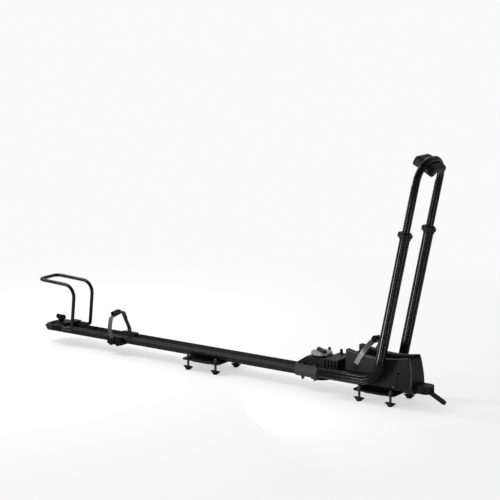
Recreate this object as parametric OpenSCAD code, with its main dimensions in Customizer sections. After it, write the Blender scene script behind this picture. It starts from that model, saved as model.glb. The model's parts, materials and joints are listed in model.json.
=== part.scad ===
// Roof mounted bike carrier that holds the front wheel between two tall arms.
// Millimetres, +Z up, +X towards the front of the car.
// Zero is the middle of the front crossbar pad, on its underside.

/* [Rail] */
// Length of the rail behind the front crossbar
rail_back = 1348; // [1340:1:1380]
// Length of the rail in front of the front crossbar
rail_front = 115; // [112:1:116]
// Width across the rail shoulders
rail_w = 78; // [76:0.5:79]
// Width of the flat underside of the rail
rail_base_w = 54; // [52:1:56]
// Width of the open wheel channel at its lips
channel_w = 46; // [44:1:47]
// Height of the rail from underside to lips
rail_h = 25.6; // [25:0.2:26.6]

/* [Crossbar clamps] */
// Distance between the two crossbars
bar_spacing = 654; // [640:2:680]
// Clamp plate length along the rail
plate_l = 146; // [142:1:152]
// Clamp plate width across the rail
plate_w = 140; // [138:1:146]
// Clamp plate thickness
plate_t = 4; // [3.5:0.25:4.5]
// Clamp stud diameter
stud_d = 8; // [7:0.5:8.5]
// Depth of the studs below the clamp plates
stud_drop = 32; // [30:1:38]

/* [Wheel arms] */
// Outer arm tube diameter
tube_d = 31; // [30:0.5:32]
// Outer arm tube wall
tube_wall = 2; // [1.5:0.25:2.25]
// Inner hoop tube diameter
hoop_d = 22; // [21:0.5:22.5]
// Distance of each arm from the middle of the rail
arm_y = 71; // [71:0.5:74]
// Forward lean of the uprights
lean = 11.5; // [10:0.5:12.5]
// Length of the outer uprights from the corner to the collar
arm_s = 468; // [460:1:480]
// Height of the hoop along the upright
hoop_s = 692; // [680:1:700]

/* [Head] */
// Dial diameter
dial_d = 68; // [60:1:69]
// Pivot pin diameter
pin_d = 10; // [8:0.5:12]
// Dial bolt diameter
bolt_d = 8; // [6:0.5:9]

/* [Rear hoop] */
// Rear hoop bar diameter
bar_d = 12; // [11:0.5:13]
// Height of the rear hoop above the rail underside
hoop_rise = 182; // [176:1:190]

/* [Straps] */
// Strap width
strap_w = 17; // [15:0.5:18]
// Strap thickness
strap_t = 2.6; // [2:0.2:3]

/* [Fits] */
// Radial running clearance of round fits
run = 0.05; // [0.03:0.01:0.08]
// Clearance of sliding and swinging faces
slip = 0.3; // [0.25:0.05:0.35]

/* [Hidden] */
$fn = 64;

// Heights of the stack on the crossbar
pad_t = 3;
cradle_t = 2;
plate_z = pad_t + plate_t;
rail_z = plate_z + cradle_t;
shoulder_z = rail_z + 19.5;
lip_z = rail_z + rail_h;
floor_z = rail_z + 8;
base_y = rail_base_w / 2;
shoulder_y = rail_w / 2;
lip_y = channel_w / 2;
floor_y = lip_y - 5;
cap_t = 5;

// Half gap and added size of the joints in one bent piece
joint = 0.1;
proud = 0.02;

// Crossbar clamps
bars = [-bar_spacing, 0];
stud_x = plate_l / 2 - 18;
stud_y = plate_w / 2 - 13;
stud_top = plate_z + 13;
stud_end = pad_t - stud_drop;
nut_h = 6.5;
nut_af = 1.6 * stud_d;
wing_h = 12;
wing_top = stud_end + wing_h - 2;
screw_d = 6;
screw_x = 25;

// Wheel the carrier is made for
wheel_r = 330;
wheel_x = -15;
wheel_z = 418;
tyre_s = 27;

// Chock
chock_b = -110;
chock_f = 116;
chock_y = 48;
chock_z = rail_z + 14;
chock_top = 135;
chock_wall = 14;
chock_hollow = 80;
front_r = 290;
front_z = 40;
rim_r = 458;
rim_z = 108 + rim_r;
taper_x = chock_f - 44;
taper = [0.125, -1, 0.115];
slit_x = 72;
slit_w = 3;
slit_t = 70;
slit_end_d = 8;
chock_pin_x = 60;
chock_pin_z = chock_z + 5;
chock_pin_d = 4;

// Nose and end lever
nose_y = 24;
nose_f = rail_front + 55;
nose_b = rail_z + 4;
nose_t = lip_z + 2.4;
lever_x = nose_f - 13;
lever_z = nose_b + 5;
lever_w = 17;
lever_t = 8;
lever_l = 62;
lever_tilt = 27;
lever_pin_d = 5;
lever_pin_y = 18;

// Wheel arms
arm_z = 42;
arm_back = -188;
arm_r = 60;
corner_x = 12.5;
pivot_x = -165;
hoop_low = arm_s - 138;
hoop_r = 60;
hoop_bore = hoop_d - 4;
collar_d = tube_d + 4;
collar_low = 12;
collar_up = 8;
strip_w = 6;
strip_h = 1.6;
tooth = 8;
teeth = 35;
lug_x = collar_d / 2 + 5;
pocket_x = tube_d / 2 + 1;
button_w = 8;
button_h = 9;
button_z = -1.5;
button_out = 2.5;
button_play = 2.3;

// Tyre pad, square to the tyre under the hoop
hoop_px = corner_x + hoop_s * sin(lean) - wheel_x;
hoop_pz = arm_z + hoop_s * cos(lean) - wheel_z;
pad_ang = atan2(hoop_px, hoop_pz);
pad_r = norm([hoop_px, hoop_pz]);
tread_r = pad_r - hoop_d / 2 - 3.4;
pad_l = 76;
pad_w = 72;
pad_deep = 18;
pad_top = pad_r - 3;
pad_screw_d = 4;
pad_screw_y = 9;

// Head carriage
dial_x = -228;
head_b = -295;
head_f = -215;
head_y = 48.5;
head_z = rail_z - 2;
barrel_r = 18;
barrel_y = head_y - 12;
barrel_z = shoulder_z - 1.5;
ledge_z = 49;
deck_z = 75;
casing_y = 34;
casing_f = -192;
house_f = -141;
house_y = 48;
house_t = 80;
clamp_bolt_d = 5;
clamp_y = (shoulder_y + head_y) / 2;
near_bolts = [-270, -225];
far_bolts = [-270, -250];
boss_y = arm_y - tube_d / 2 - slip;
slide = 80;
post_y = 42;
post_d = 9;
post_t = 94;
skirt_z = deck_z + slip;
disc_z = deck_z + 5;
grip_z = disc_z + 8;
clamp_disc_d = 70;
clamp_disc_t = 6;
slot_w = bolt_d + 2 * slip;

// Rear hoop carriage
block_in = 18;
block_l = 65;
block_b = block_in - rail_back;
block_f = block_b + block_l;
block_b_z = rail_z + 13;
block_t = lip_z + 7.4;
foot_y = shoulder_y + bar_d / 2 + 3;
block_y = foot_y + bar_d / 2 + 3;
foot_z = rail_z + 22;
knob_x = block_b + 22;
knob_d = 8;

// Rear strap carriage
strap_x = -1041;
sbase_b = strap_x - 20;
sbase_f = strap_x + 41;
sbase_y = 47;
sbase_z = rail_z - slip - 4;
ear_x = [strap_x, strap_x + 29];
ear_r = 12;
ear_z = 14;
strap_low = sbase_z + 4;
sy = sbase_y + strap_t / 2;

// Front strap
fs_x = -78;
fs_z = 72;
fs_tilt = 31;
fs_y = chock_y + strap_t / 2;
fs_top = 94;

// Outline of the rail with an all round clearance
function rail_out(c) = [
  [-base_y - 0.56 * c, rail_z - c],
  [base_y + 0.56 * c, rail_z - c],
  [shoulder_y + 1.49 * c, shoulder_z + 0.5 * c],
  [lip_y + 0.19 * c, lip_z + c],
  [-lip_y - 0.19 * c, lip_z + c],
  [-shoulder_y - 1.49 * c, shoulder_z + 0.5 * c]];

// Side chamber of the rail, made smaller by a clearance
function chamber(c) = [
  [floor_y + 3.4 + c, rail_z + 3 + c],
  [base_y - 1.1 - c, rail_z + 3 + c],
  [shoulder_y - 3.6 - 2 * c, shoulder_z - 0.4 - c],
  [lip_y + 2.4 + c, lip_z - 3.6 - c]];

function mirror_y(p) = [for (i = [len(p) - 1:-1:0]) [-p[i][0], p[i][1]]];
function unit(v) = v / norm(v);
function turn(u, v) = acos(u * v);
function corner_in(p, i) = unit(p[i] - p[i - 1]);
function corner_out(p, i) = unit(p[i + 1] - p[i]);
function setback(p, r, i) = r[i - 1] * tan(turn(corner_in(p, i), corner_out(p, i)) / 2);

// Small notch in a straight side, f along it, q pointing into the metal
function notch(a, b, f, q) = [
  a + (b - a) * (f - 0.05),
  a + (b - a) * f + q,
  a + (b - a) * (f + 0.05)];

function rail_half() = let (
  a = [base_y, rail_z],
  b = [shoulder_y, shoulder_z],
  c = [lip_y, lip_z],
  in1 = [-1.1, 0.7],
  in2 = [-0.4, -1.1])
  concat(
    [a],
    notch(a, b, 0.3, in1),
    notch(a, b, 0.55, in1),
    notch(a, b, 0.8, in1),
    [b],
    notch(b, c, 0.45, in2),
    [c, [floor_y, floor_z]]);

module axes(o, x, y, z)
  multmatrix([
    [x[0], y[0], z[0], o[0]],
    [x[1], y[1], z[1], o[1]],
    [x[2], y[2], z[2], o[2]],
    [0, 0, 0, 1]])
    children();

// Section in the YZ plane drawn out along X from a to b
module along_x(a, b)
  translate([a, 0, 0])
    rotate([90, 0, 90])
      linear_extrude(b - a)
        children();

// Section in the XZ plane drawn out along Y from a to b
module along_y(a, b)
  translate([0, b, 0])
    rotate([90, 0, 0])
      linear_extrude(b - a)
        children();

module bar_y(x, z, a, b, d)
  translate([x, a, z])
    rotate([-90, 0, 0])
      cylinder(d = d, h = b - a);

module block(x0, x1, y0, y1, z0, z1)
  translate([x0, y0, z0])
    cube([x1 - x0, y1 - y0, z1 - z0]);

module rounded(l, w, r) {
  square([l - 2 * r, w], center = true);
  square([l, w - 2 * r], center = true);
  for (x = [-1, 1])
    for (y = [-1, 1])
      translate([x * (l / 2 - r), y * (w / 2 - r)])
        circle(r = r);
}

// Section carried along a path with rounded corners, n square to the path.
// The second section, a hair larger, joins each straight to the next bend.
module bent(p, r, n) {
  last = len(p) - 1;
  for (i = [0:last - 1]) {
    u = unit(p[i + 1] - p[i]);
    a = i == 0 ? 0 : setback(p, r, i);
    b = i == last - 1 ? 0 : setback(p, r, i + 1);
    from = i == 0 ? 0 : a + joint;
    to = norm(p[i + 1] - p[i]) - (i == last - 1 ? 0 : b + joint);
    m = abs(u * n) > 0.9 ? [0, 0, 1] : n;
    x = unit(cross(u, m));
    axes(p[i] + u * from, x, cross(u, x), u)
      linear_extrude(to - from)
        children(0);
    if (i > 0)
      axes(p[i] + u * (a - 3 * joint), x, cross(u, x), u)
        linear_extrude(6 * joint)
          children(1);
    if (i < last - 1)
      axes(p[i + 1] - u * (b + 3 * joint), x, cross(u, x), u)
        linear_extrude(6 * joint)
          children(1);
  }
  for (i = [1:last - 1]) {
    u = corner_in(p, i);
    v = corner_out(p, i);
    w = unit(v - u * (u * v));
    trim = joint / r[i - 1] * 180 / PI;
    axes(p[i] - u * setback(p, r, i) + w * r[i - 1], -w, u, cross(-w, u))
      rotate([0, 0, trim])
        rotate_extrude(angle = turn(u, v) - 2 * trim)
          translate([r[i - 1], 0])
            children(0);
  }
}

module strap_section(more)
  square([strap_t + more, strap_w + more], center = true);

module ring(d, wall)
  difference() {
    circle(d = d);
    circle(d = d - 2 * wall);
  }

// Frame of the uprights: Z along them from the corner of the arms
module upright()
  translate([corner_x, 0, arm_z])
    rotate([0, lean, 0])
      children();

// Frame of the tyre pad: Z straight out from the wheel axle
module tread()
  translate([wheel_x, 0, wheel_z])
    rotate([0, pad_ang, 0])
      children();

module at_studs()
  for (bx = bars)
    for (x = [-stud_x, stud_x])
      for (y = [-stud_y, stud_y])
        translate([bx + x, y, 0])
          children();

module at_screws()
  for (bx = bars)
    for (x = [-screw_x, screw_x])
      translate([bx + x, 0, 0])
        children();

module chock_holes(d, a, b)
  for (x = [-chock_pin_x, chock_pin_x])
    for (m = [0, 1])
      mirror([0, m, 0])
        bar_y(x, chock_pin_z, a, b, d);

module plate_screw_shape() {
  translate([0, 0, pad_t])
    cylinder(d = screw_d, h = floor_z - pad_t);
  translate([0, 0, floor_z - 3])
    cylinder(d1 = screw_d, d2 = 2 * screw_d, h = 3);
}

// Extruded rail with an open wheel channel and two side chambers
module rail()
  color([0.1, 0.1, 0.11])
    difference() {
      along_x(-rail_back + cap_t, rail_front)
        difference() {
          polygon(concat(rail_half(), mirror_y(rail_half())));
          polygon(chamber(0));
          polygon(mirror_y(chamber(0)));
        }
      at_screws()
        plate_screw_shape();
      chock_holes(chock_pin_d, shoulder_y - 6, shoulder_y + 1);
      block(dial_x - slide - slot_w, dial_x + slot_w, -slot_w / 2, slot_w / 2, rail_z - 1, floor_z + 1);
    }

module cap_plugs(a, b)
  along_x(a, b) {
    polygon(chamber(0.1));
    polygon(mirror_y(chamber(0.1)));
  }

module rear_end_cap()
  color([0.06, 0.06, 0.06]) {
    along_x(-rail_back, -rail_back + cap_t)
      polygon(rail_out(0));
    cap_plugs(-rail_back + cap_t, -rail_back + cap_t + 14);
  }

// Front closing piece with a rounded nose over the end lever
module front_nose()
  color([0.06, 0.06, 0.06])
    difference() {
      union() {
        along_x(rail_front, rail_front + cap_t)
          polygon(rail_out(0));
        cap_plugs(rail_front - 14, rail_front);
        block(rail_front + cap_t, chock_f + 6, -nose_y, nose_y, nose_b, chock_z - slip);
        translate([chock_f + slip, 0, nose_b])
          linear_extrude(nose_t - nose_b) {
            translate([nose_f - chock_f - slip - nose_y, 0])
              circle(r = nose_y);
            translate([0, -nose_y])
              square([nose_f - chock_f - slip - nose_y, 2 * nose_y]);
          }
        block(rail_front + cap_t, nose_f - nose_y, -nose_y + 7, nose_y - 7, nose_b, lip_z - 1);
      }
      block(lever_x - 9, nose_f + 1, -lever_w / 2 - slip, lever_w / 2 + slip, nose_b - 1, lever_z + 7);
      bar_y(lever_x, lever_z, -nose_y - 1, nose_y + 1, lever_pin_d);
    }

module lever_pin()
  color([0.6, 0.6, 0.6])
    bar_y(lever_x, lever_z, -lever_pin_y, lever_pin_y, lever_pin_d);

// Finger lever under the nose
module end_lever()
  color([0.07, 0.07, 0.07])
    translate([lever_x, 0, lever_z])
      rotate([0, lever_tilt, 0])
        difference() {
          union() {
            bar_y(0, 0, -lever_w / 2, lever_w / 2, 11);
            translate([0, 0, -lever_t / 2])
              linear_extrude(lever_t) {
                translate([0, -lever_w / 2])
                  square([lever_l - lever_w / 2, lever_w]);
                translate([lever_l - lever_w / 2, 0])
                  circle(d = lever_w);
              }
          }
          bar_y(0, 0, -lever_w, lever_w, lever_pin_d + 2 * run);
        }

// Bracket that carries the rail on a clamp plate
module cradle(bx)
  color([0.08, 0.08, 0.08])
    difference() {
      along_x(bx - 45, bx + 45)
        polygon([
          [-base_y - 2.5, plate_z],
          [base_y + 2.5, plate_z],
          [base_y + 0.77 * (shoulder_y - base_y) + 2.5, rail_z + 13],
          [base_y + 0.75 * (shoulder_y - base_y), rail_z + 14.6],
          [-base_y - 0.75 * (shoulder_y - base_y), rail_z + 14.6],
          [-base_y - 0.77 * (shoulder_y - base_y) - 2.5, rail_z + 13]]);
      along_x(bx - 46, bx + 46)
        polygon(rail_out(0));
      at_screws()
        plate_screw_shape();
    }

module rear_cradle()
  cradle(bars[0]);

module front_cradle()
  cradle(bars[1]);

module plate(bx)
  color([0.09, 0.09, 0.09])
    difference() {
      translate([bx, 0, pad_t])
        linear_extrude(plate_t)
          rounded(plate_l, plate_w, 10);
      at_screws()
        plate_screw_shape();
      at_studs()
        cylinder(d = stud_d, h = plate_z + 1);
    }

module rear_plate()
  plate(bars[0]);

module front_plate()
  plate(bars[1]);

module pad(bx)
  color([0.05, 0.05, 0.05])
    translate([bx, 0, 0])
      linear_extrude(pad_t)
        rounded(2 * (stud_x - 21), plate_w - 10, 4);

module rear_pad()
  pad(bars[0]);

module front_pad()
  pad(bars[1]);

module plate_screws()
  color([0.3, 0.3, 0.3])
    at_screws()
      plate_screw_shape();

module clamp_studs()
  color([0.35, 0.35, 0.36])
    at_studs()
      translate([0, 0, stud_end])
        cylinder(d = stud_d, h = stud_top - stud_end);

module stud_nuts()
  color([0.4, 0.4, 0.4])
    at_studs()
      translate([0, 0, plate_z])
        difference() {
          cylinder(d = nut_af / cos(30), h = nut_h, $fn = 6);
          translate([0, 0, -1])
            cylinder(d = stud_d, h = nut_h + 2);
        }

// Hand nut with two raised wings, n from 0 to 7
module wing_nut(n)
  color([0.05, 0.05, 0.05])
    translate([
      bars[floor(n / 4)] + (n % 2 == 0 ? -stud_x : stud_x),
      n % 4 < 2 ? -stud_y : stud_y,
      wing_top - wing_h])
      difference() {
        union() {
          cylinder(d = stud_d + 7, h = wing_h - 3.5);
          along_y(-3, 3)
            polygon([
              [-6, 0],
              [6, 0],
              [17, wing_h - 5],
              [19, wing_h - 1],
              [16, wing_h],
              [6, wing_h - 3.5],
              [-6, wing_h - 3.5],
              [-16, wing_h],
              [-19, wing_h - 1],
              [-17, wing_h - 5]]);
        }
        translate([0, 0, 1.5])
          cylinder(d = stud_d + 2 * run, h = wing_h);
      }

// Moulded wheel chock that straddles the rail
module chock()
  color([0.07, 0.07, 0.07])
    difference() {
      intersection() {
        block(chock_b, chock_f + 1, -chock_y, chock_y, chock_z, chock_top);
        bar_y(chock_f - front_r, front_z, -chock_y - 1, chock_y + 1, 2 * front_r);
      }
      for (m = [0, 1])
        mirror([0, m, 0])
          translate([taper_x, -chock_y, chock_z])
            rotate([0, acos(taper[2] / norm(taper)), atan2(taper[1], taper[0])])
              block(-200, 200, -200, 200, 0, 60);
      bar_y(0, rim_z, -chock_y - 1, chock_y + 1, 2 * rim_r);
      bar_y(wheel_x, wheel_z, -tyre_s - 2, tyre_s + 2, 2 * wheel_r);
      along_x(chock_b - 1, chock_f + 1)
        polygon(rail_out(0));
      block(chock_b - 1, chock_f + 1, -shoulder_y, shoulder_y, chock_z - 1, shoulder_z);
      block(chock_b + 9, chock_f - 17, chock_wall - chock_y, chock_y - chock_wall, chock_z, chock_hollow);
      block(slit_x - slit_w / 2, slit_x + slit_w / 2, -chock_y - 1, chock_wall + 1 - chock_y, chock_z - 1, slit_t);
      bar_y(slit_x, slit_t, -chock_y - 1, chock_wall + 1 - chock_y, slit_end_d);
      chock_holes(chock_pin_d, shoulder_y - 6, chock_y + 1);
    }

module chock_screws()
  color([0.2, 0.2, 0.2]) {
    chock_holes(chock_pin_d, shoulder_y - 6, chock_y);
    chock_holes(7, chock_y, chock_y + 2.4);
  }

// Frame of the front strap: Z leans forward up the strap
module front_strap_frame()
  translate([fs_x, 0, fs_z])
    rotate([0, fs_tilt, 0])
      children();

// Band that loops from wall to wall over the front rim
module front_strap()
  color([0.2, 0.2, 0.2])
    front_strap_frame()
      bent([
        [0, -fs_y, -9],
        [0, -fs_y, 62],
        [0, -30, fs_top],
        [0, 30, fs_top],
        [0, fs_y, 62],
        [0, fs_y, -9]],
        [50, 18, 18, 50], [1, 0, 0]) {
        strap_section(0);
        strap_section(proud);
      }

// Round hatched plates that fix the strap ends to the chock walls
module strap_feet()
  color([0.12, 0.12, 0.12])
    for (m = [0, 1])
      mirror([0, m, 0])
        front_strap_frame()
          difference() {
            bar_y(0, 0, -chock_y - strap_t - 2.4, -chock_y - strap_t, 22);
            for (k = [-6:4:6]) {
              block(k - 0.7, k + 0.7, -chock_y - 10, -chock_y - strap_t - 1.4, -12, 12);
              block(-12, 12, -chock_y - 10, -chock_y - strap_t - 1.4, k - 0.7, k + 0.7);
            }
          }

// Buckle base with two cheeks and a cross pin, standing on the band
module buckle()
  color([0.1, 0.1, 0.1]) {
    block(-10.4, 10.4, -17, 17, 0, 2.5);
    for (m = [0, 1])
      mirror([m, 0, 0])
        block(8 + slip, 10.4, -17, -2, 2.5, 11);
    translate([-9, -11, 7.2])
      rotate([0, 90, 0])
        cylinder(d = 3, h = 18);
  }

module buckle_lever()
  color([0.14, 0.14, 0.14])
    difference() {
      union() {
        translate([-8, -11, 7.2])
          rotate([0, 90, 0])
            cylinder(d = 6, h = 16);
        block(-8, 8, -11, 17, 6, 9);
      }
      translate([-9, -11, 7.2])
        rotate([0, 90, 0])
          cylinder(d = 3 + 2 * run, h = 18);
    }

module on_front_strap()
  front_strap_frame()
    translate([0, -4, fs_top + strap_t / 2 + proud])
      children();

module on_rear_strap()
  translate([strap_x, -19, rear_p1[1] + (-19 - rear_p1[0]) * tan(rear_tilt)])
    rotate([rear_tilt, 0, 0])
      translate([0, 0, strap_t / 2 + proud])
        children();

rear_p1 = [-sy, 97.2];
rear_p2 = [12, 107.2];
rear_tilt = atan2(rear_p2[1] - rear_p1[1], rear_p2[0] - rear_p1[0]);

module front_buckle()
  on_front_strap()
    buckle();

module front_buckle_lever()
  on_front_strap()
    buckle_lever();

// Clamp body that slides on the rail and carries the head
module head_saddle()
  color([0.22, 0.22, 0.22])
    difference() {
      union() {
        block(head_b, head_f, -head_y, head_y, lip_z - 2, ledge_z);
        along_x(head_b, head_f)
          for (y = [-barrel_y, barrel_y])
            translate([y, barrel_z])
              circle(r = barrel_r);
        at_head_bolts()
          translate([0, 0, head_z])
            cylinder(d = 11, h = barrel_z - head_z);
      }
      along_x(head_b - 1, head_f + 1)
        polygon(rail_out(slip));
      block(head_b - 1, head_f + 1, -clamp_disc_d / 2 - 1, clamp_disc_d / 2 + 1, head_z - 1, rail_z + slip);
      head_bolt_holes();
      translate([dial_x, 0, 0])
        cylinder(d = bolt_d + 2 * run, h = 100);
    }

module at_head_bolts() {
  for (x = near_bolts)
    translate([x, -clamp_y, 0])
      children();
  for (x = far_bolts)
    translate([x, clamp_y, 0])
      children();
}

module head_bolt_holes()
  at_head_bolts()
    cylinder(d = clamp_bolt_d, h = ledge_z + 1);

module head_bolts()
  color([0.35, 0.35, 0.35])
    at_head_bolts() {
      translate([0, 0, head_z - 5])
        cylinder(d = clamp_bolt_d, h = ledge_z - head_z + 5);
      translate([0, 0, ledge_z])
        cylinder(d = 9, h = 6, $fn = 6);
    }

module head_nuts()
  color([0.4, 0.4, 0.4])
    at_head_bolts()
      translate([0, 0, head_z - 4])
        difference() {
          cylinder(d = 9, h = 4, $fn = 6);
          translate([0, 0, -1])
            cylinder(d = clamp_bolt_d, h = 6);
        }

module head_casing()
  color([0.12, 0.12, 0.12])
    difference() {
      along_y(-casing_y, casing_y)
        polygon([
          [head_b, ledge_z],
          [casing_f, ledge_z],
          [casing_f, deck_z],
          [-262, deck_z],
          [head_b, ledge_z + 5]]);
      translate([dial_x, 0, 0])
        cylinder(d = bolt_d + 2 * run, h = 100);
    }

// Ribbed block that carries the pivot of the arms
module pivot_housing()
  color([0.08, 0.08, 0.08])
    difference() {
      union() {
        block(casing_f, house_f, -house_y, house_y, lip_z + slip, house_t);
        bar_y(pivot_x, arm_z, -boss_y, boss_y, pin_d + 12);
      }
      for (k = [0:3])
        for (m = [0, 1])
          mirror([0, m, 0])
            block(casing_f + 4 + 12 * k, casing_f + 11 + 12 * k, -house_y - 1, -house_y + 6, 55, house_t - 4);
      along_x(casing_f - 1, house_f + 1)
        polygon(rail_out(slip));
      bar_y(pivot_x, arm_z, -100, 100, pin_d);
    }

module post(x, y, z) {
  translate([x, y, z])
    cylinder(d = post_d, h = post_t - post_d / 2 - z);
  translate([x, y, post_t - post_d / 2])
    rotate_extrude()
      intersection() {
        circle(d = post_d);
        square(post_d);
      }
}

module housing_posts()
  color([0.06, 0.06, 0.06]) {
    post(-226, post_y, ledge_z);
    post(-182, post_y, house_t);
  }

module clamp_disc()
  color([0.1, 0.1, 0.1])
    translate([dial_x, 0, rail_z - slip - clamp_disc_t])
      difference() {
        cylinder(d = clamp_disc_d, h = clamp_disc_t);
        translate([0, 0, -1])
          cylinder(d = bolt_d + 2 * run, h = clamp_disc_t + 2);
      }

// Pin through the housing into both arms, with a head inside each tube
module pivot_pin()
  color([0.3, 0.3, 0.3]) {
    pin_y = arm_y - tube_d / 2 + tube_wall + 4;
    bar_y(pivot_x, arm_z, -pin_y, pin_y, pin_d);
    bar_y(pivot_x, arm_z, pin_y, pin_y + 3, pin_d + 5);
    bar_y(pivot_x, arm_z, -pin_y - 3, -pin_y, pin_d + 5);
  }

module dial_lobes(d, n, cut)
  difference() {
    circle(d = d);
    for (k = [0:n - 1])
      rotate(360 / n * k)
        translate([d / 2 + cut * 0.35, 0])
          circle(d = cut);
  }

module dial_ring(z, h, bore)
  translate([dial_x, 0, z])
    linear_extrude(h)
      difference() {
        children();
        circle(d = bore);
      }

module dial_skirt()
  color([0.06, 0.06, 0.06])
    dial_ring(skirt_z, disc_z - skirt_z, bolt_d)
      circle(d = dial_d - 12);

module dial_disc()
  color([0.55, 0.55, 0.55])
    dial_ring(disc_z, grip_z - disc_z, bolt_d)
      dial_lobes(dial_d, 9, 9);

module dial_grip()
  color([0.06, 0.06, 0.06])
    translate([dial_x, 0, grip_z])
      linear_extrude(8)
        rotate(-35)
          rounded(dial_d - 8, 17, 7);

module dial_bolt()
  color([0.4, 0.4, 0.4])
    translate([dial_x, 0, rail_z - slip - clamp_disc_t - 4])
      cylinder(d = bolt_d, h = grip_z - rail_z + slip + clamp_disc_t + 4);

module tube_section(more)
  difference() {
    ring(tube_d + more, tube_wall + more);
    for (k = [0:11])
      rotate(15 + 30 * k)
        translate([tube_d / 2 + 1, 0])
          circle(d = 4.2 - more, $fn = 24);
  }

// Grooved tube that runs forward from the pivot and turns up
module arm(y)
  color([0.05, 0.05, 0.05])
    difference() {
      bent([
        [arm_back, y, arm_z],
        [corner_x, y, arm_z],
        [corner_x + arm_s * sin(lean), y, arm_z + arm_s * cos(lean)]],
        [arm_r], [0, -1, 0]) {
        tube_section(0);
        tube_section(proud);
      }
      bar_y(pivot_x, arm_z, min(y, y - sign(y) * tube_d), max(y, y - sign(y) * tube_d), pin_d + 2 * run);
    }

module near_arm()
  arm(-arm_y);

module far_arm()
  arm(arm_y);

module arm_plug(y)
  color([0.1, 0.1, 0.1]) {
    translate([arm_back - 3, y, arm_z])
      rotate([0, 90, 0])
        cylinder(d = tube_d, h = 3);
    translate([arm_back, y, arm_z])
      rotate([0, 90, 0])
        cylinder(d = tube_d - 2 * tube_wall, h = 10);
  }

module near_arm_plug()
  arm_plug(-arm_y);

module far_arm_plug()
  arm_plug(arm_y);

// Clamp collar on the top of an arm with a lug for the release button
module collar(y)
  color([0.06, 0.06, 0.06])
    upright()
      translate([0, y, arm_s])
        difference() {
          union() {
            translate([0, 0, -collar_low])
              cylinder(d = collar_d, h = collar_low + collar_up);
            block(-lug_x, -pocket_x, -button_w / 2 - 3, button_w / 2 + 3, -9, 6);
            block(pocket_x, collar_d / 2 + 3, -6, 6, -5, 6);
          }
          translate([0, 0, -collar_low - 1])
            cylinder(d = tube_d, h = collar_low + 1);
          translate([0, 0, -1])
            cylinder(d = hoop_d + 2 * run, h = 20);
          block(-hoop_d / 2 - strip_h - 2 * slip, 0, -strip_w / 2 - slip, strip_w / 2 + slip, -1, 20);
          block(-lug_x - 1, -pocket_x, -button_w / 2 - slip, button_w / 2 + slip,
            button_z - button_h / 2 - slip, button_z + button_h / 2 + slip);
        }

module near_collar()
  collar(-arm_y);

module far_collar()
  collar(arm_y);

module release(y)
  color([0.16, 0.16, 0.16])
    upright()
      translate([0, y, arm_s + button_z])
        block(-lug_x - button_out, -pocket_x - button_play, -button_w / 2, button_w / 2,
          -button_h / 2, button_h / 2);

module near_release()
  release(-arm_y);

module far_release()
  release(arm_y);

module hoop_path()
  bent([
    [0, -arm_y, hoop_low],
    [0, -arm_y, hoop_s],
    [0, arm_y, hoop_s],
    [0, arm_y, hoop_low]],
    [hoop_r, hoop_r], [1, 0, 0]) {
    children(0);
    children(1);
  }

module pad_screw_shape()
  for (y = [-pad_screw_y, pad_screw_y])
    translate([0, y, tread_r - 1.5]) {
      cylinder(d = pad_screw_d, h = 12);
      cylinder(d1 = 2 * pad_screw_d, d2 = pad_screw_d, h = 2);
    }

// Inner tube that telescopes in the arms and carries the tyre pad
module hoop_tube()
  color([0.05, 0.05, 0.05])
    difference() {
      upright()
        hoop_path() {
          ring(hoop_d, 2);
          ring(hoop_d + proud, 2 + proud);
        }
      tread()
        pad_screw_shape();
    }

module ratchet_strips()
  color([0.08, 0.08, 0.08])
    upright()
      for (y = [-arm_y, arm_y])
        translate([0, y, hoop_low + 10])
          difference() {
            along_y(-strip_w / 2, strip_w / 2)
              polygon(concat(
                [[-hoop_d / 2 + 1, 0]],
                [for (k = [0:teeth - 1]) each [
                  [-hoop_d / 2 - 0.6, tooth * k],
                  [-hoop_d / 2 - strip_h, tooth * k + 1],
                  [-hoop_d / 2 - strip_h, tooth * k + 4]]],
                [[-hoop_d / 2 - 0.6, tooth * teeth], [-hoop_d / 2 + 1, tooth * teeth]]));
            translate([0, 0, -1])
              cylinder(d = hoop_d, h = tooth * teeth + 2);
          }

// Saddle pad that presses on the tyre under the hoop
module tyre_pad()
  color([0.06, 0.06, 0.06])
    difference() {
      tread()
        difference() {
          along_y(-pad_w / 2, pad_w / 2)
            translate([0, (pad_top + tread_r - pad_deep) / 2])
              rounded(pad_l, pad_top - tread_r + pad_deep, 6);
          rotate([90, 0, 0])
            rotate_extrude($fn = 128)
              translate([tread_r - tyre_s, 0])
                circle(r = tyre_s);
          pad_screw_shape();
        }
      upright()
        hoop_seat();
    }

// Seat for the top of the hoop, with a little room round its bends
module hoop_seat() {
  bend_y = arm_y - hoop_r;
  bar_y(0, hoop_s, -bend_y - 1, bend_y + 1, hoop_d);
  for (k = [-1, 1])
    axes([0, k * bend_y, hoop_s - hoop_r], [0, 0, 1], [0, k, 0], [-k, 0, 0])
      rotate_extrude(angle = 70)
        translate([hoop_r, 0])
          circle(d = hoop_d + 2 * run);
}

module pad_screws()
  color([0.3, 0.3, 0.3])
    tread()
      pad_screw_shape();

rise_x = block_f + 48;
foot_b = block_f - 35 - rise_x;
hoop_c = [15.5, rail_z + hoop_rise - 7 - foot_z];
hoop_e = [-146, rail_z + hoop_rise - foot_z];

// Bent bar that stands behind the rear wheel
module rear_hoop()
  color([0.05, 0.05, 0.05])
    translate([rise_x, 0, foot_z])
      bent([
        [foot_b, -foot_y, 0],
        [0, -foot_y, 0],
        [hoop_c[0], -foot_y, hoop_c[1]],
        [hoop_e[0], -foot_y, hoop_e[1]],
        [hoop_e[0], foot_y, hoop_e[1]],
        [hoop_c[0], foot_y, hoop_c[1]],
        [0, foot_y, 0],
        [foot_b, foot_y, 0]],
        [12, 40, 22, 22, 40, 12], [0, 1, 0]) {
        circle(d = bar_d);
        circle(d = bar_d + proud);
      }

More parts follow.
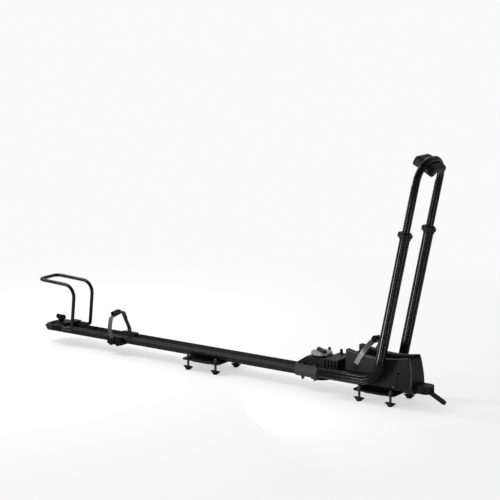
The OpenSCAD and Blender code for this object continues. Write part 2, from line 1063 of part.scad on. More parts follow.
// Block that carries the rear hoop and slides on the rail
module hoop_base()
  color([0.07, 0.07, 0.07])
    difference() {
      union() {
        along_y(-lip_y - 3, lip_y + 3)
          polygon([
            [block_b, lip_z - 4],
            [block_f, lip_z - 4],
            [block_f, block_t],
            [block_b + 13, block_t],
            [block_b, lip_z + slip + 1]]);
        block(block_f - 36, block_f, -block_y, block_y, block_b_z, lip_z + 4);
      }
      along_x(block_b - 1, block_f + 1)
        polygon(rail_out(slip));
      block(block_b - 1, block_f + 1, -shoulder_y - 1.49 * slip, shoulder_y + 1.49 * slip, block_b_z - 1,
        shoulder_z);
      for (y = [-foot_y, foot_y])
        translate([rise_x + foot_b, y, foot_z])
          rotate([0, 90, 0])
            cylinder(d = bar_d, h = 40);
      translate([knob_x, 0, 0])
        cylinder(d = knob_d, h = 100);
    }

module hoop_stud()
  color([0.4, 0.4, 0.4])
    translate([knob_x, 0, lip_z - 6])
      cylinder(d = knob_d, h = block_t - lip_z + 20);

module hoop_knob()
  color([0.06, 0.06, 0.06])
    translate([knob_x, 0, block_t + slip])
      difference() {
        union() {
          cylinder(d = 18, h = 12);
          translate([0, 0, 9])
            linear_extrude(13) {
              square([34, 9], center = true);
              for (x = [-17, 17])
                translate([x, 0])
                  circle(d = 9);
            }
        }
        translate([0, 0, -1])
          cylinder(d = knob_d + 2 * run, h = 16);
      }

// Sliding strap holder that hooks under the rail
module strap_base()
  color([0.1, 0.1, 0.1])
    difference() {
      union() {
        block(sbase_b, sbase_f, -sbase_y, sbase_y, sbase_z, shoulder_z + 3.5);
        for (x = ear_x)
          bar_y(x, ear_z, -sbase_y - strap_t - 3, -shoulder_y - 2, 2 * ear_r);
      }
      block(strap_x - strap_w / 2, strap_x + strap_w / 2, -sbase_y - strap_t, -sbase_y, strap_low, lip_z);
      along_x(sbase_b - 9, sbase_f + 9)
        polygon(rail_out(slip));
      block(sbase_b - 9, sbase_f + 9, -31, 31, floor_z, lip_z + 9);
    }

module rear_strap()
  color([0.3, 0.3, 0.3])
    translate([strap_x, 0, 0])
      bent([
        [0, -sy, strap_low],
        [0, -sy, 30],
        [0, -sy - 9, 62],
        [0, rear_p1[0], rear_p1[1]],
        [0, rear_p2[0], rear_p2[1]],
        [0, sy, lip_z + 7],
        [0, sy, strap_low]],
        [20, 40, 9, 16, 14], [1, 0, 0]) {
        strap_section(0);
        strap_section(proud);
      }

module rear_buckle()
  on_rear_strap()
    buckle();

module rear_buckle_lever()
  on_rear_strap()
    buckle_lever();

rail();
rear_end_cap();
front_nose();
rear_cradle();
front_cradle();
rear_plate();
front_plate();
rear_pad();
front_pad();
plate_screws();
clamp_studs();
stud_nuts();
chock();
chock_screws();
front_strap();
strap_feet();
front_buckle();
lever_pin();
front_buckle_lever();
end_lever();
wing_nut(0);  // wing_nut_1
wing_nut(1);  // wing_nut_2
wing_nut(2);  // wing_nut_3
wing_nut(3);  // wing_nut_4
wing_nut(4);  // wing_nut_5
wing_nut(5);  // wing_nut_6
wing_nut(6);  // wing_nut_7
wing_nut(7);  // wing_nut_8
head_saddle();
head_casing();
pivot_housing();
housing_posts();
head_bolts();
head_nuts();
clamp_disc();
pivot_pin();
dial_skirt();
dial_disc();
dial_grip();
dial_bolt();
near_arm();
far_arm();
near_arm_plug();
far_arm_plug();
near_collar();
far_collar();
near_release();
far_release();
hoop_tube();
ratchet_strips();
tyre_pad();
pad_screws();
hoop_base();
rear_hoop();
hoop_stud();
hoop_knob();
strap_base();
rear_strap();
rear_buckle();
rear_buckle_lever();
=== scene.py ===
"""Looks of a roof mounted bike carrier: finishes for each piece, shaped straps and pad, a plain studio."""

import json
import math

import bpy
import numpy as np
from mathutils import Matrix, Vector

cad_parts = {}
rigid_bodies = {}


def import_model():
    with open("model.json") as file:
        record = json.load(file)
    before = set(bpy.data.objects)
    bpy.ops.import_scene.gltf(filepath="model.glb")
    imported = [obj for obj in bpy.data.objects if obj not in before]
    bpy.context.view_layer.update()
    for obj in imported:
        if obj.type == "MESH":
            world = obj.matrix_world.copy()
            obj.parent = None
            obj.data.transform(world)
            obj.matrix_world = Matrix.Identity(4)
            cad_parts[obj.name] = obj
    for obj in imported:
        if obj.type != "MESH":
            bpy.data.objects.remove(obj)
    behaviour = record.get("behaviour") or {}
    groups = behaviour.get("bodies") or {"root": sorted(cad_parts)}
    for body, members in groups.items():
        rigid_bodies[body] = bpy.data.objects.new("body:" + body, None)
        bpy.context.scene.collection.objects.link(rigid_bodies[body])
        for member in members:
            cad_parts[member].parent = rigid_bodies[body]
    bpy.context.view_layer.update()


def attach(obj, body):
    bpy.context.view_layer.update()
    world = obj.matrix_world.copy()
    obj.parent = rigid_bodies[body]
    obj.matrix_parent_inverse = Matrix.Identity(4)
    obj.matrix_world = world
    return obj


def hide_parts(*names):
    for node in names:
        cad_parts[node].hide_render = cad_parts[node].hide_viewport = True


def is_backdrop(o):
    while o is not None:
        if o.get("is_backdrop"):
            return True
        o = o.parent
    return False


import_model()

MM = 0.001

# Sizes shared with the solids, in millimetres
WHEEL_X, WHEEL_Z = -15.0, 418.0
CORNER_X, ARM_Z, LEAN = 12.5, 42.0, 11.5
ARM_Y, HOOP_S, HOOP_D, HOOP_R = 71.0, 692.0, 22.0, 60.0
STRAP_W, STRAP_T = 17.0, 2.6
FRONT_STRAP_AT, FRONT_STRAP_TILT, FRONT_STRAP_TOP = (-78.0, 0.0, 72.0), 31.0, 94.0
REAR_STRAP_X = -1041.0


def direction(degrees):
    """Unit vector in the XZ plane, that many degrees forward of straight up."""
    a = math.radians(degrees)
    return np.array([math.sin(a), 0.0, math.cos(a)])


def new_mesh(name, points, faces, body):
    """A piece made of points in millimetres and faces, smooth, riding on a body."""
    mesh = bpy.data.meshes.new(name)
    mesh.from_pydata((np.asarray(points) * MM).tolist(), [], faces)
    mesh.validate()
    mesh.polygons.foreach_set("use_smooth", np.ones(len(mesh.polygons), bool))
    mesh.update()
    piece = bpy.data.objects.new(name, mesh)
    bpy.context.scene.collection.objects.link(piece)
    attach(piece, body)
    return piece


def grid_faces(rows, cols, wrap=True):
    """Quads of a grid of points, rows along the path and cols round the section, closed round the section."""
    r, c = np.meshgrid(np.arange(rows - 1), np.arange(cols if wrap else cols - 1), indexing="ij")
    c2 = (c + 1) % cols
    quads = np.stack([r * cols + c, r * cols + c2, (r + 1) * cols + c2, (r + 1) * cols + c], -1)
    return quads.reshape(-1, 4).tolist()


def rounded_path(corners, radii, step):
    """Points every step along a polyline whose corners are arcs: straight, arc about the corner's centre, straight."""
    corners = [np.asarray(p, float) for p in corners]
    points = [corners[0][None]]
    for i, radius in enumerate(radii, 1):
        u = corners[i] - corners[i - 1]
        v = corners[i + 1] - corners[i]
        u, v = u / np.linalg.norm(u), v / np.linalg.norm(v)
        angle = math.acos(float(np.clip(u @ v, -1, 1)))
        back = radius * math.tan(angle / 2)
        w = v - u * (u @ v)
        w /= np.linalg.norm(w)
        start = corners[i] - u * back
        t = np.linspace(0, angle, max(4, int(radius * angle / step)))[:, None]
        points.append(start + radius * (np.sin(t) * u + (1 - np.cos(t)) * w))
    points.append(corners[-1][None])
    rough = np.concatenate(points)
    length = np.concatenate([[0], np.cumsum(np.linalg.norm(np.diff(rough, axis=0), axis=1))])
    at = np.linspace(0, length[-1], int(length[-1] / step) + 1)
    return np.stack([np.interp(at, length, rough[:, k]) for k in range(3)], 1), at


def band_points(path, at, across, width, thick, ribs, pitch):
    """Ribbed strap: at each path point a rounded oblong, across times width by normal times thick.

    Section angle q gives x = width/2 * sgn(cos q)|cos q|^0.25 and y = thick/2 * sgn(sin q)|sin q|^0.5;
    on the outer side y grows by ribs times a squared cosine of the path length over the pitch.
    """
    tangent = np.gradient(path, axis=0)
    tangent /= np.linalg.norm(tangent, axis=1)[:, None]
    normal = np.cross(tangent, across)
    q = np.linspace(0, 2 * math.pi, 28, endpoint=False)
    cos, sin = np.cos(q), np.sin(q)
    x = width / 2 * np.sign(cos) * np.abs(cos) ** 0.25
    y = thick / 2 * np.sign(sin) * np.abs(sin) ** 0.5
    rib = np.cos(math.pi * at / pitch) ** 4 * ribs
    middle = np.clip(1.25 - np.abs(x) / (width * 0.36), 0, 1) * (sin > 0.05)
    lift = y[None] + rib[:, None] * middle[None]
    taper = np.minimum(1, np.minimum(at - at[0], at[-1] - at) / 2.0 + 0.35)[:, None, None]
    offset = across * x[None, :, None] + normal[:, None, :] * lift[:, :, None]
    return path[:, None, :] + offset * taper


def make_band(name, corners, radii, across, place, body, node, pitch=4.2):
    """A strap along a cornered path, with its ends closed by flat caps."""
    path, at = rounded_path(corners, radii, 0.7)
    across = np.asarray(across, float)
    grid = band_points(path, at, across, STRAP_W, STRAP_T, 0.7, pitch)
    rows, cols = grid.shape[:2]
    faces = grid_faces(rows, cols)
    faces = [f[::-1] for f in faces]
    faces.append(list(range(cols)))
    faces.append(list(range(rows * cols - 1, (rows - 1) * cols - 1, -1)))
    piece = new_mesh(name, place(grid.reshape(-1, 3)), faces, body)
    if node:
        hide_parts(node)
    return piece


def tilt_place(points):
    """Front strap's own frame to the carrier's: leaned forward about Y, then moved to the strap's foot."""
    a = math.radians(FRONT_STRAP_TILT)
    turned = points @ np.array([[math.cos(a), 0, -math.sin(a)], [0, 1, 0], [math.sin(a), 0, math.cos(a)]])
    return turned + np.array(FRONT_STRAP_AT)


def rear_place(points):
    """Rear strap's own frame to the carrier's: moved along the rail."""
    return points + np.array([REAR_STRAP_X, 0, 0])


def make_straps():
    """Both wheel straps, each a closed loop from side to side, with the free tail past its buckle."""
    y = 48 + STRAP_T / 2
    top = FRONT_STRAP_TOP
    front = [(0, -y, -9), (0, -y, 62), (0, -30, top), (0, 30, top), (0, y, 62), (0, y, -9)]
    make_band("front_strap_band", front, [50, 18, 18, 50], (1, 0, 0), tilt_place, "base", "front_strap")
    y = 47 + STRAP_T / 2
    foot = 8.7
    rear = [(0, -y, foot), (0, -y, 30), (0, -y - 9, 62), (0, -y, 97.2), (0, 12, 107.2), (0, y, 41.6), (0, y, foot)]
    make_band("rear_strap_band", rear, [20, 40, 9, 16, 14], (1, 0, 0), rear_place, "strap_carriage", "rear_strap")
    rise = math.atan2(10.0, 12 + y)
    lift = STRAP_T + 0.8
    shift = np.array([0, -math.sin(rise), math.cos(rise)]) * lift
    tail = [np.array((0, -1.0, 97.2 + (y - 1.0) * math.tan(rise))) + shift,
            np.array((0, 14.5, 107.6)) + shift, np.array((0, 29.5, 78.0)) + shift]
    make_band("rear_strap_tail", tail, [17], (1, 0, 0), rear_place, "strap_carriage", None)


def closed_grid(name, grid, body, node=None):
    """A piece from a grid of rings, in millimetres, its first and last ring closed by flat caps."""
    rows, cols = grid.shape[:2]
    faces = grid_faces(rows, cols)
    faces.append(list(range(cols))[::-1])
    faces.append(list(range((rows - 1) * cols, rows * cols)))
    piece = new_mesh(name, grid.reshape(-1, 3), faces, body)
    if node:
        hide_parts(node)
    return piece


def oblong_rings(height, half_x, half_y, power, count=56):
    """Stacked rings: at each height x = a sgn(cos q)|cos q|^p and y = b sgn(sin q)|sin q|^p, q round the ring."""
    q = np.linspace(0, 2 * math.pi, count, endpoint=False)
    power = np.broadcast_to(np.asarray(power, float), np.shape(height))[:, None]
    x = np.asarray(half_x, float)[:, None] * np.sign(np.cos(q)) * np.abs(np.cos(q)) ** power
    y = np.asarray(half_y, float)[:, None] * np.sign(np.sin(q)) * np.abs(np.sin(q)) ** power
    return np.stack([x, y, np.broadcast_to(np.asarray(height, float)[:, None], x.shape)], -1)


def turned(grid, degrees):
    """Points turned about Z."""
    a = math.radians(degrees)
    return grid @ np.array([[math.cos(a), math.sin(a), 0], [-math.sin(a), math.cos(a), 0], [0, 0, 1]])


def make_wing_nuts():
    """Eight hand nuts: a round foot that spreads upward into two wings, a = 7.8 + 12 (h/10)^1.3, b = 7.8 - 1.6 h/10.

    The top sinks from the wings' tips to the rim of the stud's bore.
    """
    h = np.linspace(0.8, 10, 20)
    height = np.concatenate([[0, 0, 0.4], h, [10.8, 11.4, 8.4, 8.2, 1.6]])
    half_x = np.concatenate([[5.5, 7.2, 7.8], 7.8 + 12 * (h / 10) ** 1.3, [19.6, 18.0, 6.4, 4.2, 4.2]])
    half_y = np.concatenate([[5.5, 7.2, 7.8], 7.8 - 1.6 * h / 10, [6.0, 5.6, 6.0, 4.2, 4.2]])
    rings = oblong_rings(height, half_x, half_y, np.concatenate([np.full(25, 0.95), [1, 1, 1]]))
    for n in range(8):
        at = np.array([(-654 if n < 4 else 0) + (-55 if n % 2 == 0 else 55), -57 if n % 4 < 2 else 57, -31.0])
        name = "wing_nut_%d" % (n + 1)
        closed_grid("hand_nut_%d" % (n + 1), rings + at, name, name)


def make_knob():
    """Rear knob: bore, round neck, then a loft into two lobes a = 21.5, b = 5.8 with a softened top."""
    t = np.linspace(0, 1, 16)
    ease = t * t * (3 - 2 * t)
    cap = np.linspace(0, 1, 8)[1:]
    height = np.concatenate([[15, 0.4, 0], 0.6 + 11 * t, 11.6 + 10.4 * np.sin(cap * math.pi / 2)])
    half_x = np.concatenate([[4.2, 4.2, 8.4], 9 + 12.5 * ease, 21.5 - 8 * (1 - np.cos(cap * math.pi / 2))])
    half_y = np.concatenate([[4.2, 4.2, 8.4], 9 - 3.2 * ease, 5.8 - 3 * (1 - np.cos(cap * math.pi / 2))])
    power = np.concatenate([[1, 1, 1], 1 - 0.25 * ease, np.full(7, 0.75)])
    rings = oblong_rings(height, half_x, half_y, power)
    waist = np.where(rings[..., 2] > 12, 1 - 0.12 * np.exp(-(rings[..., 0] / 7.0) ** 2), 1.0)
    rings = np.stack([rings[..., 0], rings[..., 1], rings[..., 2] * waist], -1)
    closed_grid("lobed_knob", rings + np.array([-1308, 0, 42.3]), "hoop_knob", "hoop_knob")


def make_dial():
    """Dial: a disc with nine scallops, r = 34 - 2.4 exp(-(u/7)^2) at u degrees from each, and an oblong grip bar."""
    q = np.linspace(0, 2 * math.pi, 216, endpoint=False)
    off = (np.degrees(q) + 20) % 40 - 20
    rim = 34 - 2.4 * np.exp(-(off / 7.0) ** 2)
    edge = np.array([-2.2, -0.8, -0.2, 0, 0, -0.2, -0.8, -2.4, -6.0])
    height = np.array([80.0, 80.3, 81, 82, 86, 87, 87.7, 88, 88.0])
    r = rim[None] + edge[:, None]
    disc = np.stack([r * np.cos(q), r * np.sin(q), np.broadcast_to(height[:, None], r.shape)], -1)
    closed_grid("scalloped_disc", disc + np.array([-228, 0, 0]), "dial", "dial_disc")
    t = np.linspace(0, math.pi / 2, 8)
    rise = np.concatenate([[88.0, 88.4, 92.5], 92.5 + 3.5 * np.sin(t)])
    long = np.concatenate([[30, 30, 29], 29 - 3.2 * (1 - np.cos(t))])
    wide = np.concatenate([[8.5, 8.4, 7.2], 7.2 - 3.0 * (1 - np.cos(t))])
    bar = turned(oblong_rings(rise, long, wide, 0.45), -35)
    closed_grid("grip_bar", bar + np.array([-228, 0, 0]), "dial", "dial_grip")


def make_buckle_covers():
    """Domed covers on the buckle levers: an oblong 2.8 mm deep whose top swells by 1.2 sin along the lever."""
    height = 9.0 + np.array([0, 0.5, 1.4, 2.2, 2.8])
    inset = np.array([0, 0.05, 0.5, 1.4, 2.8])
    rings = oblong_rings(height, 7.9 - inset, 12.0 - inset, 0.35) + np.array([0, 4.8, 0])
    swell = np.where(rings[..., 2] > 9.05, 1.2 * np.sin(np.clip((rings[..., 1] + 7) / 24, 0, 1) * math.pi), 0)
    rings = rings + np.stack([0 * swell, 0 * swell, swell], -1)
    front = tilt_place((rings + np.array([0, -4, FRONT_STRAP_TOP + STRAP_T / 2])).reshape(-1, 3)).reshape(rings.shape)
    closed_grid("front_lever_cover", front, "front_buckle_lever")
    a = math.atan2(10.0, 12 + 47 + STRAP_T / 2)
    lean = np.array([[1, 0, 0], [0, math.cos(a), math.sin(a)], [0, -math.sin(a), math.cos(a)]])
    up = 97.2 + (47 + STRAP_T / 2 - 19) * math.tan(a)
    rear = (rings + np.array([0, 0, STRAP_T / 2])) @ lean + np.array([REAR_STRAP_X, -19, up])
    closed_grid("rear_lever_cover", rear, "rear_buckle_lever")


def make_bead(name, path, radius, body):
    """A round bead along a path in an XZ plane: circle of that radius in the plane of Y and the path's normal."""
    path = np.asarray(path, float)
    tangent = np.gradient(path, axis=0)
    tangent /= np.linalg.norm(tangent, axis=1)[:, None]
    side = np.array([0, 1.0, 0])
    normal = np.cross(side, tangent)
    q = np.linspace(0, 2 * math.pi, 14, endpoint=False)
    ends = np.minimum(1, np.arange(len(path))[:, None, None] * 0.35 + 0.3)
    ends = np.minimum(ends, ends[::-1])
    ring = np.cos(q)[None, :, None] * normal[:, None, :] + np.sin(q)[None, :, None] * side
    return closed_grid(name, path[:, None, :] + radius * ends * ring, body)


def make_chock_beads():
    """Rims along the top of both chock walls, z = 566 - sqrt(458^2 - x^2), and up the rounded front's edges, in a
    paler finish that paints a highlight line on them.

    The front is x = sqrt(290^2 - (z - 40)^2) - 174, and the walls lean in as y = 48 - (x - 72) / 8 - 0.115 (z - 23).
    """
    x = np.linspace(-108, 102, 120)
    rim = np.stack([x, 0 * x, 566 - np.sqrt(458.0**2 - x**2) - 0.2], 1)
    z = np.linspace(24, 118, 40)
    edge = np.stack([np.sqrt(290.0**2 - (z - 40) ** 2) - 174.8, 0 * z, z], 1)
    for path in (rim, edge):
        path[:, 1] = np.minimum(48, 48 - (path[:, 0] - 72) / 8 - 0.115 * (path[:, 2] - 23)) - 1.3
    for label, side in (("near", -1), ("far", 1)):
        make_bead(label + "_wall_rim", rim * np.array([1, side, 1]), 1.7, "base")
        make_bead(label + "_front_edge", edge * np.array([1, side, 1]), 1.5, "base")


def pad_frame():
    """Angle and radius of the hoop's top about the wheel's axle, from the lean and height of the uprights."""
    top = np.array([CORNER_X, 0, ARM_Z]) + direction(LEAN) * HOOP_S
    x, z = top[0] - WHEEL_X, top[2] - WHEEL_Z
    return math.degrees(math.atan2(x, z)), math.hypot(x, z)


def make_tyre_pad():
    """Saddle pad on the tyre, closed round a section in width and height and carried along the tread.

    At place s along the tread and angle q round the section, the half width is a rounded oblong. The top is
    lifted into two lobes, 2.2 mm * sin^2, and pressed down to the underside of the hoop where the hoop crosses.
    The underside follows the tyre, tread - 27 + sqrt(27^2 - y^2), down to the rims of the side walls.
    """
    angle, hoop_radius = pad_frame()
    tread = hoop_radius - HOOP_D / 2 - 3.4
    half_l, half_w, deep, top = 38.0, 36.0, 18.0, hoop_radius - 3
    s = np.concatenate([np.linspace(-1, -0.97, 6), np.linspace(-0.965, 0.965, 190), np.linspace(0.97, 1, 6)])
    s = half_l * s
    end = np.clip((half_l - np.abs(s)) / 6.0, 0, 1)
    round_end = np.sqrt(1 - (1 - end) ** 2)
    width = half_w - 3.0 * (1 - round_end)
    lobe = 2.2 * np.sin(np.clip(np.abs(s) / half_l, 0, 1) * math.pi) ** 2
    outer = top - 7.0 * (1 - round_end) + lobe
    edge = np.linspace(-1, 1, 61)
    y_out = width[:, None] * edge[None]
    corner = np.clip((1 - np.abs(edge)) * half_w / 6.0, 0, 1)
    z_out = outer[:, None] - 6.0 * (1 - np.sqrt(1 - (1 - corner) ** 2))[None]
    bend_y = ARM_Y - HOOP_R
    past = np.clip(np.abs(y_out) - bend_y, 0, HOOP_R - 1)
    drop = HOOP_R - np.sqrt(HOOP_R**2 - past**2)
    reach = HOOP_D / 2 + 0.3
    inside = np.clip(reach**2 - s[:, None] ** 2, 0, None)
    seat = hoop_radius - drop - np.sqrt(inside)
    z_out = np.where(np.abs(s)[:, None] < reach, np.minimum(z_out, seat), z_out)
    rim = tread - deep
    inner_edge = np.linspace(1, -1, 41)
    y_in = (25.4 - 1.5 * (1 - round_end))[:, None] * inner_edge[None]
    z_in = tread - 27 + np.sqrt(27.0**2 - np.clip(y_in, -26.9, 26.9) ** 2) + 1.5 * (1 - round_end)[:, None]
    wall_y = np.stack([width - 0.6, width - 2.5, np.full_like(s, 29.5), np.full_like(s, 27.2)], 1)
    wall_z = np.stack([np.full_like(s, rim + 3), np.full_like(s, rim), np.full_like(s, rim - 0.2),
                       np.full_like(s, rim + 0.8)], 1) + 6.0 * (1 - round_end)[:, None]
    across = np.concatenate([y_out, wall_y, y_in, -wall_y[:, ::-1]], 1)
    height = np.concatenate([z_out, wall_z, z_in, wall_z[:, ::-1]], 1)
    turn = s / tread
    bend = (np.cos(turn) - 1) * tread
    a = math.radians(angle)
    out = np.array([math.sin(a), 0, math.cos(a)])
    along = np.array([math.cos(a), 0, -math.sin(a)])
    place = np.broadcast_to(s[:, None], across.shape)
    grid = (out * (height + 0.35 * bend[:, None])[..., None] + along * place[..., None]
            + np.array([0, 1.0, 0]) * across[..., None] + np.array([WHEEL_X, 0, WHEEL_Z]))
    rows, cols = across.shape
    faces = grid_faces(rows, cols)
    faces.append(list(range(cols))[::-1])
    faces.append(list(range((rows - 1) * cols, rows * cols)))
    pad = new_mesh("tyre_saddle", grid.reshape(-1, 3), faces, "hoop")
    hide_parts("tyre_pad")
    return pad


def group(name, inputs, outputs):
    """An empty shader node group with named sockets."""
    tree = bpy.data.node_groups.new(name, "ShaderNodeTree")
    for socket, kind, value in inputs:
        made = tree.interface.new_socket(socket, in_out="INPUT", socket_type=kind)
        made.default_value = value
    for socket, kind in outputs:
        tree.interface.new_socket(socket, in_out="OUTPUT", socket_type=kind)
    return tree, tree.nodes.new("NodeGroupInput"), tree.nodes.new("NodeGroupOutput")


def soft_edge_group():
    """Rounded-edge normal, and a mask that is 1 on edges, where a paler colour paints edge highlights: one minus the
    dot of rounded and true normal.
    """
    tree, given, put = group("soft_edges", [("Radius", "NodeSocketFloat", 0.001)],
                             [("Normal", "NodeSocketVector"), ("Edge", "NodeSocketFloat")])
    bevel = tree.nodes.new("ShaderNodeBevel")
    bevel.samples = 16
    true = tree.nodes.new("ShaderNodeNewGeometry")
    dot = tree.nodes.new("ShaderNodeVectorMath")
    dot.operation = "DOT_PRODUCT"
    span = tree.nodes.new("ShaderNodeMapRange")
    span.inputs["From Min"].default_value = 0.995
    span.inputs["From Max"].default_value = 0.8
    link = tree.links.new
    link(given.outputs["Radius"], bevel.inputs["Radius"])
    link(bevel.outputs["Normal"], put.inputs["Normal"])
    link(bevel.outputs["Normal"], dot.inputs[0])
    link(true.outputs["Normal"], dot.inputs[1])
    link(dot.outputs["Value"], span.inputs["Value"])
    link(span.outputs["Result"], put.inputs["Edge"])
    return tree


def grain_group():
    """Fine moulding grain: noise on Object coordinates, about zero to one."""
    tree, given, put = group("fine_grain", [("Scale", "NodeSocketFloat", 900.0), ("Detail", "NodeSocketFloat", 2.0)],
                             [("Grain", "NodeSocketFloat")])
    coords = tree.nodes.new("ShaderNodeTexCoord")
    noise = tree.nodes.new("ShaderNodeTexNoise")
    link = tree.links.new
    link(coords.outputs["Object"], noise.inputs["Vector"])
    link(given.outputs["Scale"], noise.inputs["Scale"])
    link(given.outputs["Detail"], noise.inputs["Detail"])
    link(noise.outputs["Fac"], put.inputs["Grain"])
    return tree


SOFT_EDGES = soft_edge_group()
FINE_GRAIN = grain_group()


def finish_material(name, colour, rough, edge_highlight_colour=None, edge_mm=1.0, grain=900.0, bump=0.0,
                    specular=0.5, metallic=0.0, spread=0.05):
    """A finish: base colour paler on edges as a painted edge highlight, roughness varied by grain, rounded edges, a
    slight grain bump.
    """
    material = bpy.data.materials.new(name)
    material.use_nodes = True
    tree = material.node_tree
    shader = tree.nodes["Principled BSDF"]
    shader.inputs["Specular IOR Level"].default_value = specular
    shader.inputs["Metallic"].default_value = metallic
    link = tree.links.new
    edges = tree.nodes.new("ShaderNodeGroup")
    edges.node_tree = SOFT_EDGES
    edges.inputs["Radius"].default_value = edge_mm * MM
    speck = tree.nodes.new("ShaderNodeGroup")
    speck.node_tree = FINE_GRAIN
    speck.inputs["Scale"].default_value = grain
    edge_highlight_mix = tree.nodes.new("ShaderNodeMix")
    edge_highlight_mix.data_type = "RGBA"
    # painted highlight: edges get a paler base colour, the given one or the base colour lightened
    pale = edge_highlight_colour or tuple(min(1.0, c * 1.8 + 0.006) for c in colour)
    edge_highlight_mix.inputs["A"].default_value = (*colour, 1)
    edge_highlight_mix.inputs["B"].default_value = (*pale, 1)
    link(edges.outputs["Edge"], edge_highlight_mix.inputs["Factor"])
    link(edge_highlight_mix.outputs["Result"], shader.inputs["Base Color"])
    vary = tree.nodes.new("ShaderNodeMapRange")
    vary.inputs["From Min"].default_value = 0.3
    vary.inputs["From Max"].default_value = 0.7
    vary.inputs["To Min"].default_value = max(0.02, rough - spread)
    vary.inputs["To Max"].default_value = min(1.0, rough + spread)
    link(speck.outputs["Grain"], vary.inputs["Value"])
    link(vary.outputs["Result"], shader.inputs["Roughness"])
    if bump > 0:
        raise_grain = tree.nodes.new("ShaderNodeBump")
        raise_grain.inputs["Strength"].default_value = bump
        raise_grain.inputs["Distance"].default_value = 0.0004
        link(speck.outputs["Grain"], raise_grain.inputs["Height"])
        link(edges.outputs["Normal"], raise_grain.inputs["Normal"])
        link(raise_grain.outputs["Normal"], shader.inputs["Normal"])
    else:
        link(edges.outputs["Normal"], shader.inputs["Normal"])
    return material


def make_finishes():
    """One finish per kind of piece, by name; where a third colour is given, it is the painted edge highlight."""
    return {
        # painted highlight: the pale edge colour draws light lines along the rail's edges and ridges
        "rail": finish_material(
            "satin_black_rail", (0.002, 0.002, 0.0023), 0.3, (0.22, 0.22, 0.223), 0.45, 500, 0, 0.06),
        "plate": finish_material(
            "powder_black_steel", (0.003, 0.003, 0.0033), 0.42, None, 0.8, 1400, 0.15, 0.1),
        "tube": finish_material(
            "gloss_black_tube", (0.001, 0.001, 0.0012), 0.1, None, 0.02, 300, 0, 0.09, spread=0.005),
        "hoop_bar": finish_material("black_coated_bar", (0.002, 0.002, 0.0023), 0.16, None, 0.3, 900, 0, 0.2),
        "plastic": finish_material(
            "matte_black_plastic", (0.0025, 0.0025, 0.0028), 0.45, (0.02, 0.02, 0.021), 1.4, 1500, 0.2, 0.07),
        "chock": finish_material(
            "grained_black_plastic", (0.003, 0.003, 0.0033), 0.5, (0.03, 0.03, 0.031), 1.6, 1500, 0.25, 0.08),
        # painted highlight: the chock's rims and front edges are a paler black than the chock, to draw the light line
        # along its edges
        "bead": finish_material(
            "bead_plastic_painted_highlight", (0.012, 0.012, 0.0125), 0.35, None, 0.2, 1500, 0, 0.3),
        "grey": finish_material(
            "mid_grey_plastic", (0.02, 0.02, 0.021), 0.45, (0.045, 0.045, 0.047), 1.5, 1500, 0.2, 0.12),
        "disc": finish_material(
            "pale_grey_plastic", (0.11, 0.11, 0.113), 0.4, (0.2, 0.2, 0.205), 1.2, 1500, 0.1),
        "steel": finish_material(
            "blackened_steel", (0.035, 0.035, 0.037), 0.32, (0.1, 0.1, 0.1), 0.4, 900, 0, 0.5, 0.9),
        "rubber": finish_material(
            "charcoal_rubber", (0.004, 0.004, 0.0043), 0.55, (0.022, 0.022, 0.0225), 1.8, 1100, 0.3, 0.12),
        "strap": finish_material("grey_strap", (0.036, 0.036, 0.037), 0.4, None, 0.3, 800, 0.1, 0.4),
    }


FINISH_OF = {
    "rail": ["rail"],
    "plate": ["rear_cradle", "front_cradle", "rear_plate", "front_plate", "clamp_disc", "pivot_pin"],
    "tube": ["near_arm", "far_arm", "hoop_tube"],
    "hoop_bar": ["rear_hoop"],
    "chock": ["chock"],
    "grey": ["head_saddle"],
    "disc": ["dial_disc", "scalloped_disc"],
    "bead": ["near_wall_rim", "far_wall_rim", "near_front_edge", "far_front_edge"],
    "steel": ["plate_screws", "clamp_studs", "stud_nuts", "chock_screws", "lever_pin", "head_bolts", "head_nuts",
              "dial_bolt", "pad_screws", "hoop_stud"],
    "rubber": ["rear_pad", "front_pad", "tyre_pad", "tyre_saddle"],
    "strap": ["front_strap", "rear_strap", "front_strap_band", "rear_strap_band", "rear_strap_tail"],
}


def dress(finishes):
    """Each piece gets its finish; pieces that aren't named are matte plastic."""
    by_piece = {piece: kind for kind, pieces in FINISH_OF.items() for piece in pieces}
    for piece in bpy.context.scene.objects:
        if piece.type == "MESH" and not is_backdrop(piece):
            piece.data.materials.clear()
            piece.data.materials.append(finishes[by_piece.get(piece.name, "plastic")])


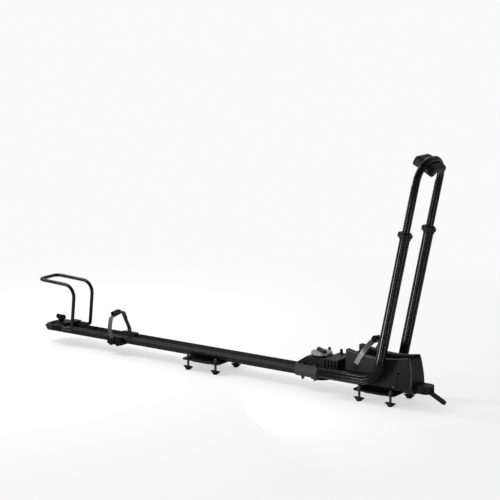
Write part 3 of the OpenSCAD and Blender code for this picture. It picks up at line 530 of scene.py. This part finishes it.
def make_floor():
    """Pale floor under the hand nuts, kept matt near the carrier for its shadow and plain white further off."""
    mesh = bpy.data.meshes.new("floor")
    reach, level = 70.0, -0.0315
    mesh.from_pydata([(-reach, -reach, level), (reach, -reach, level), (reach, reach, level), (-reach, reach, level)],
                     [], [(0, 1, 2, 3)])
    floor = bpy.data.objects.new("floor", mesh)
    bpy.context.scene.collection.objects.link(floor)
    material = bpy.data.materials.new("pale_floor")
    material.use_nodes = True
    tree = material.node_tree
    link = tree.links.new
    shader = tree.nodes["Principled BSDF"]
    shader.inputs["Base Color"].default_value = (0.82, 0.82, 0.82, 1)
    shader.inputs["Roughness"].default_value = 0.9
    shader.inputs["Specular IOR Level"].default_value = 0.1
    white = tree.nodes.new("ShaderNodeEmission")
    white.inputs["Strength"].default_value = 0.96
    coords = tree.nodes.new("ShaderNodeTexCoord")
    away = tree.nodes.new("ShaderNodeVectorMath")
    away.operation = "DISTANCE"
    away.inputs[1].default_value = (-0.5, 0, level)
    far = tree.nodes.new("ShaderNodeMapRange")
    far.interpolation_type = "SMOOTHSTEP"
    far.inputs["From Min"].default_value = 0.7
    far.inputs["From Max"].default_value = 2.2
    far.inputs["To Min"].default_value = 0.6
    seen = tree.nodes.new("ShaderNodeLightPath")
    any_view = tree.nodes.new("ShaderNodeMath")
    any_view.operation = "MAXIMUM"
    any_ray = tree.nodes.new("ShaderNodeMath")
    any_ray.operation = "MAXIMUM"
    amount = tree.nodes.new("ShaderNodeMath")
    amount.operation = "MULTIPLY"
    mix = tree.nodes.new("ShaderNodeMixShader")
    link(coords.outputs["Object"], away.inputs[0])
    link(away.outputs["Value"], far.inputs["Value"])
    link(seen.outputs["Is Camera Ray"], any_view.inputs[0])
    link(seen.outputs["Is Glossy Ray"], any_view.inputs[1])
    link(any_view.outputs["Value"], any_ray.inputs[0])
    link(seen.outputs["Is Transmission Ray"], any_ray.inputs[1])
    link(any_ray.outputs["Value"], amount.inputs[0])
    link(far.outputs["Result"], amount.inputs[1])
    link(amount.outputs["Value"], mix.inputs["Fac"])
    link(shader.outputs["BSDF"], mix.inputs[1])
    link(white.outputs["Emission"], mix.inputs[2])
    link(mix.outputs["Shader"], tree.nodes["Material Output"].inputs["Surface"])
    mesh.materials.append(material)


def add_light(name, place, target, size, power, shape=1.0):
    """A soft rectangular lamp turned to a target."""
    data = bpy.data.lights.new(name, "AREA")
    data.shape = "RECTANGLE"
    data.size, data.size_y = size, size * shape
    data.energy = power
    lamp = bpy.data.objects.new(name, data)
    lamp.location = place
    lamp.rotation_mode = "QUATERNION"
    lamp.rotation_quaternion = (Vector(target) - Vector(place)).to_track_quat("-Z", "Y")
    lamp.visible_camera = False
    bpy.context.scene.collection.objects.link(lamp)


def make_studio():
    """Even pale room, a long lamp overhead on the left, soft lamps at the viewer's left and behind, low strips."""
    world = bpy.data.worlds.new("studio")
    world.use_nodes = True
    back = world.node_tree.nodes["Background"]
    back.inputs["Color"].default_value = (1, 1, 1, 1)
    back.inputs["Strength"].default_value = 0.55
    bpy.context.scene.world = world
    middle = (-0.5, 0, 0.1)
    add_light("over_left", (-2.0, -0.63, 2.1), (-0.5, 0, 0.05), 0.6, 46, 3.0)
    add_light("viewer_left", (-3.0, -3.2, 1.15), middle, 0.7, 26, 1.0)
    add_light("rear_sky", (-1.9, 1.2, 1.75), middle, 2.2, 20, 1.0)
    add_light("low_left", (-0.485, -0.77, 0.225), (-0.177, -0.389, 1.095), 0.08, 14, 11.5)
    add_light("low_front", (0.635, -0.341, 0.1), (0.353, -0.198, 1.05), 0.06, 4, 10.5)

def make_camera():
    """The photograph's viewpoint: 35 degrees round towards the front, 11 above level, a long lens."""
    data = bpy.data.cameras.new("viewpoint")
    data.lens, data.sensor_width = 122.4, 36.0
    data.clip_start, data.clip_end = 0.1, 150
    camera = bpy.data.objects.new("viewpoint", data)
    camera.location = (2.5552, -4.3539, 1.3936)
    round_about, above = math.radians(35.0802), math.radians(10.7858)
    ahead = Vector((-math.sin(round_about) * math.cos(above), math.cos(round_about) * math.cos(above),
                    -math.sin(above)))
    camera.rotation_mode = "QUATERNION"
    camera.rotation_quaternion = ahead.to_track_quat("-Z", "Y")
    bpy.context.scene.collection.objects.link(camera)
    bpy.context.scene.camera = camera


make_straps()
make_tyre_pad()
make_wing_nuts()
make_knob()
make_dial()
make_buckle_covers()
make_chock_beads()
dress(make_finishes())
make_floor()
make_studio()
make_camera()
bpy.context.scene.view_settings.view_transform = "Standard"
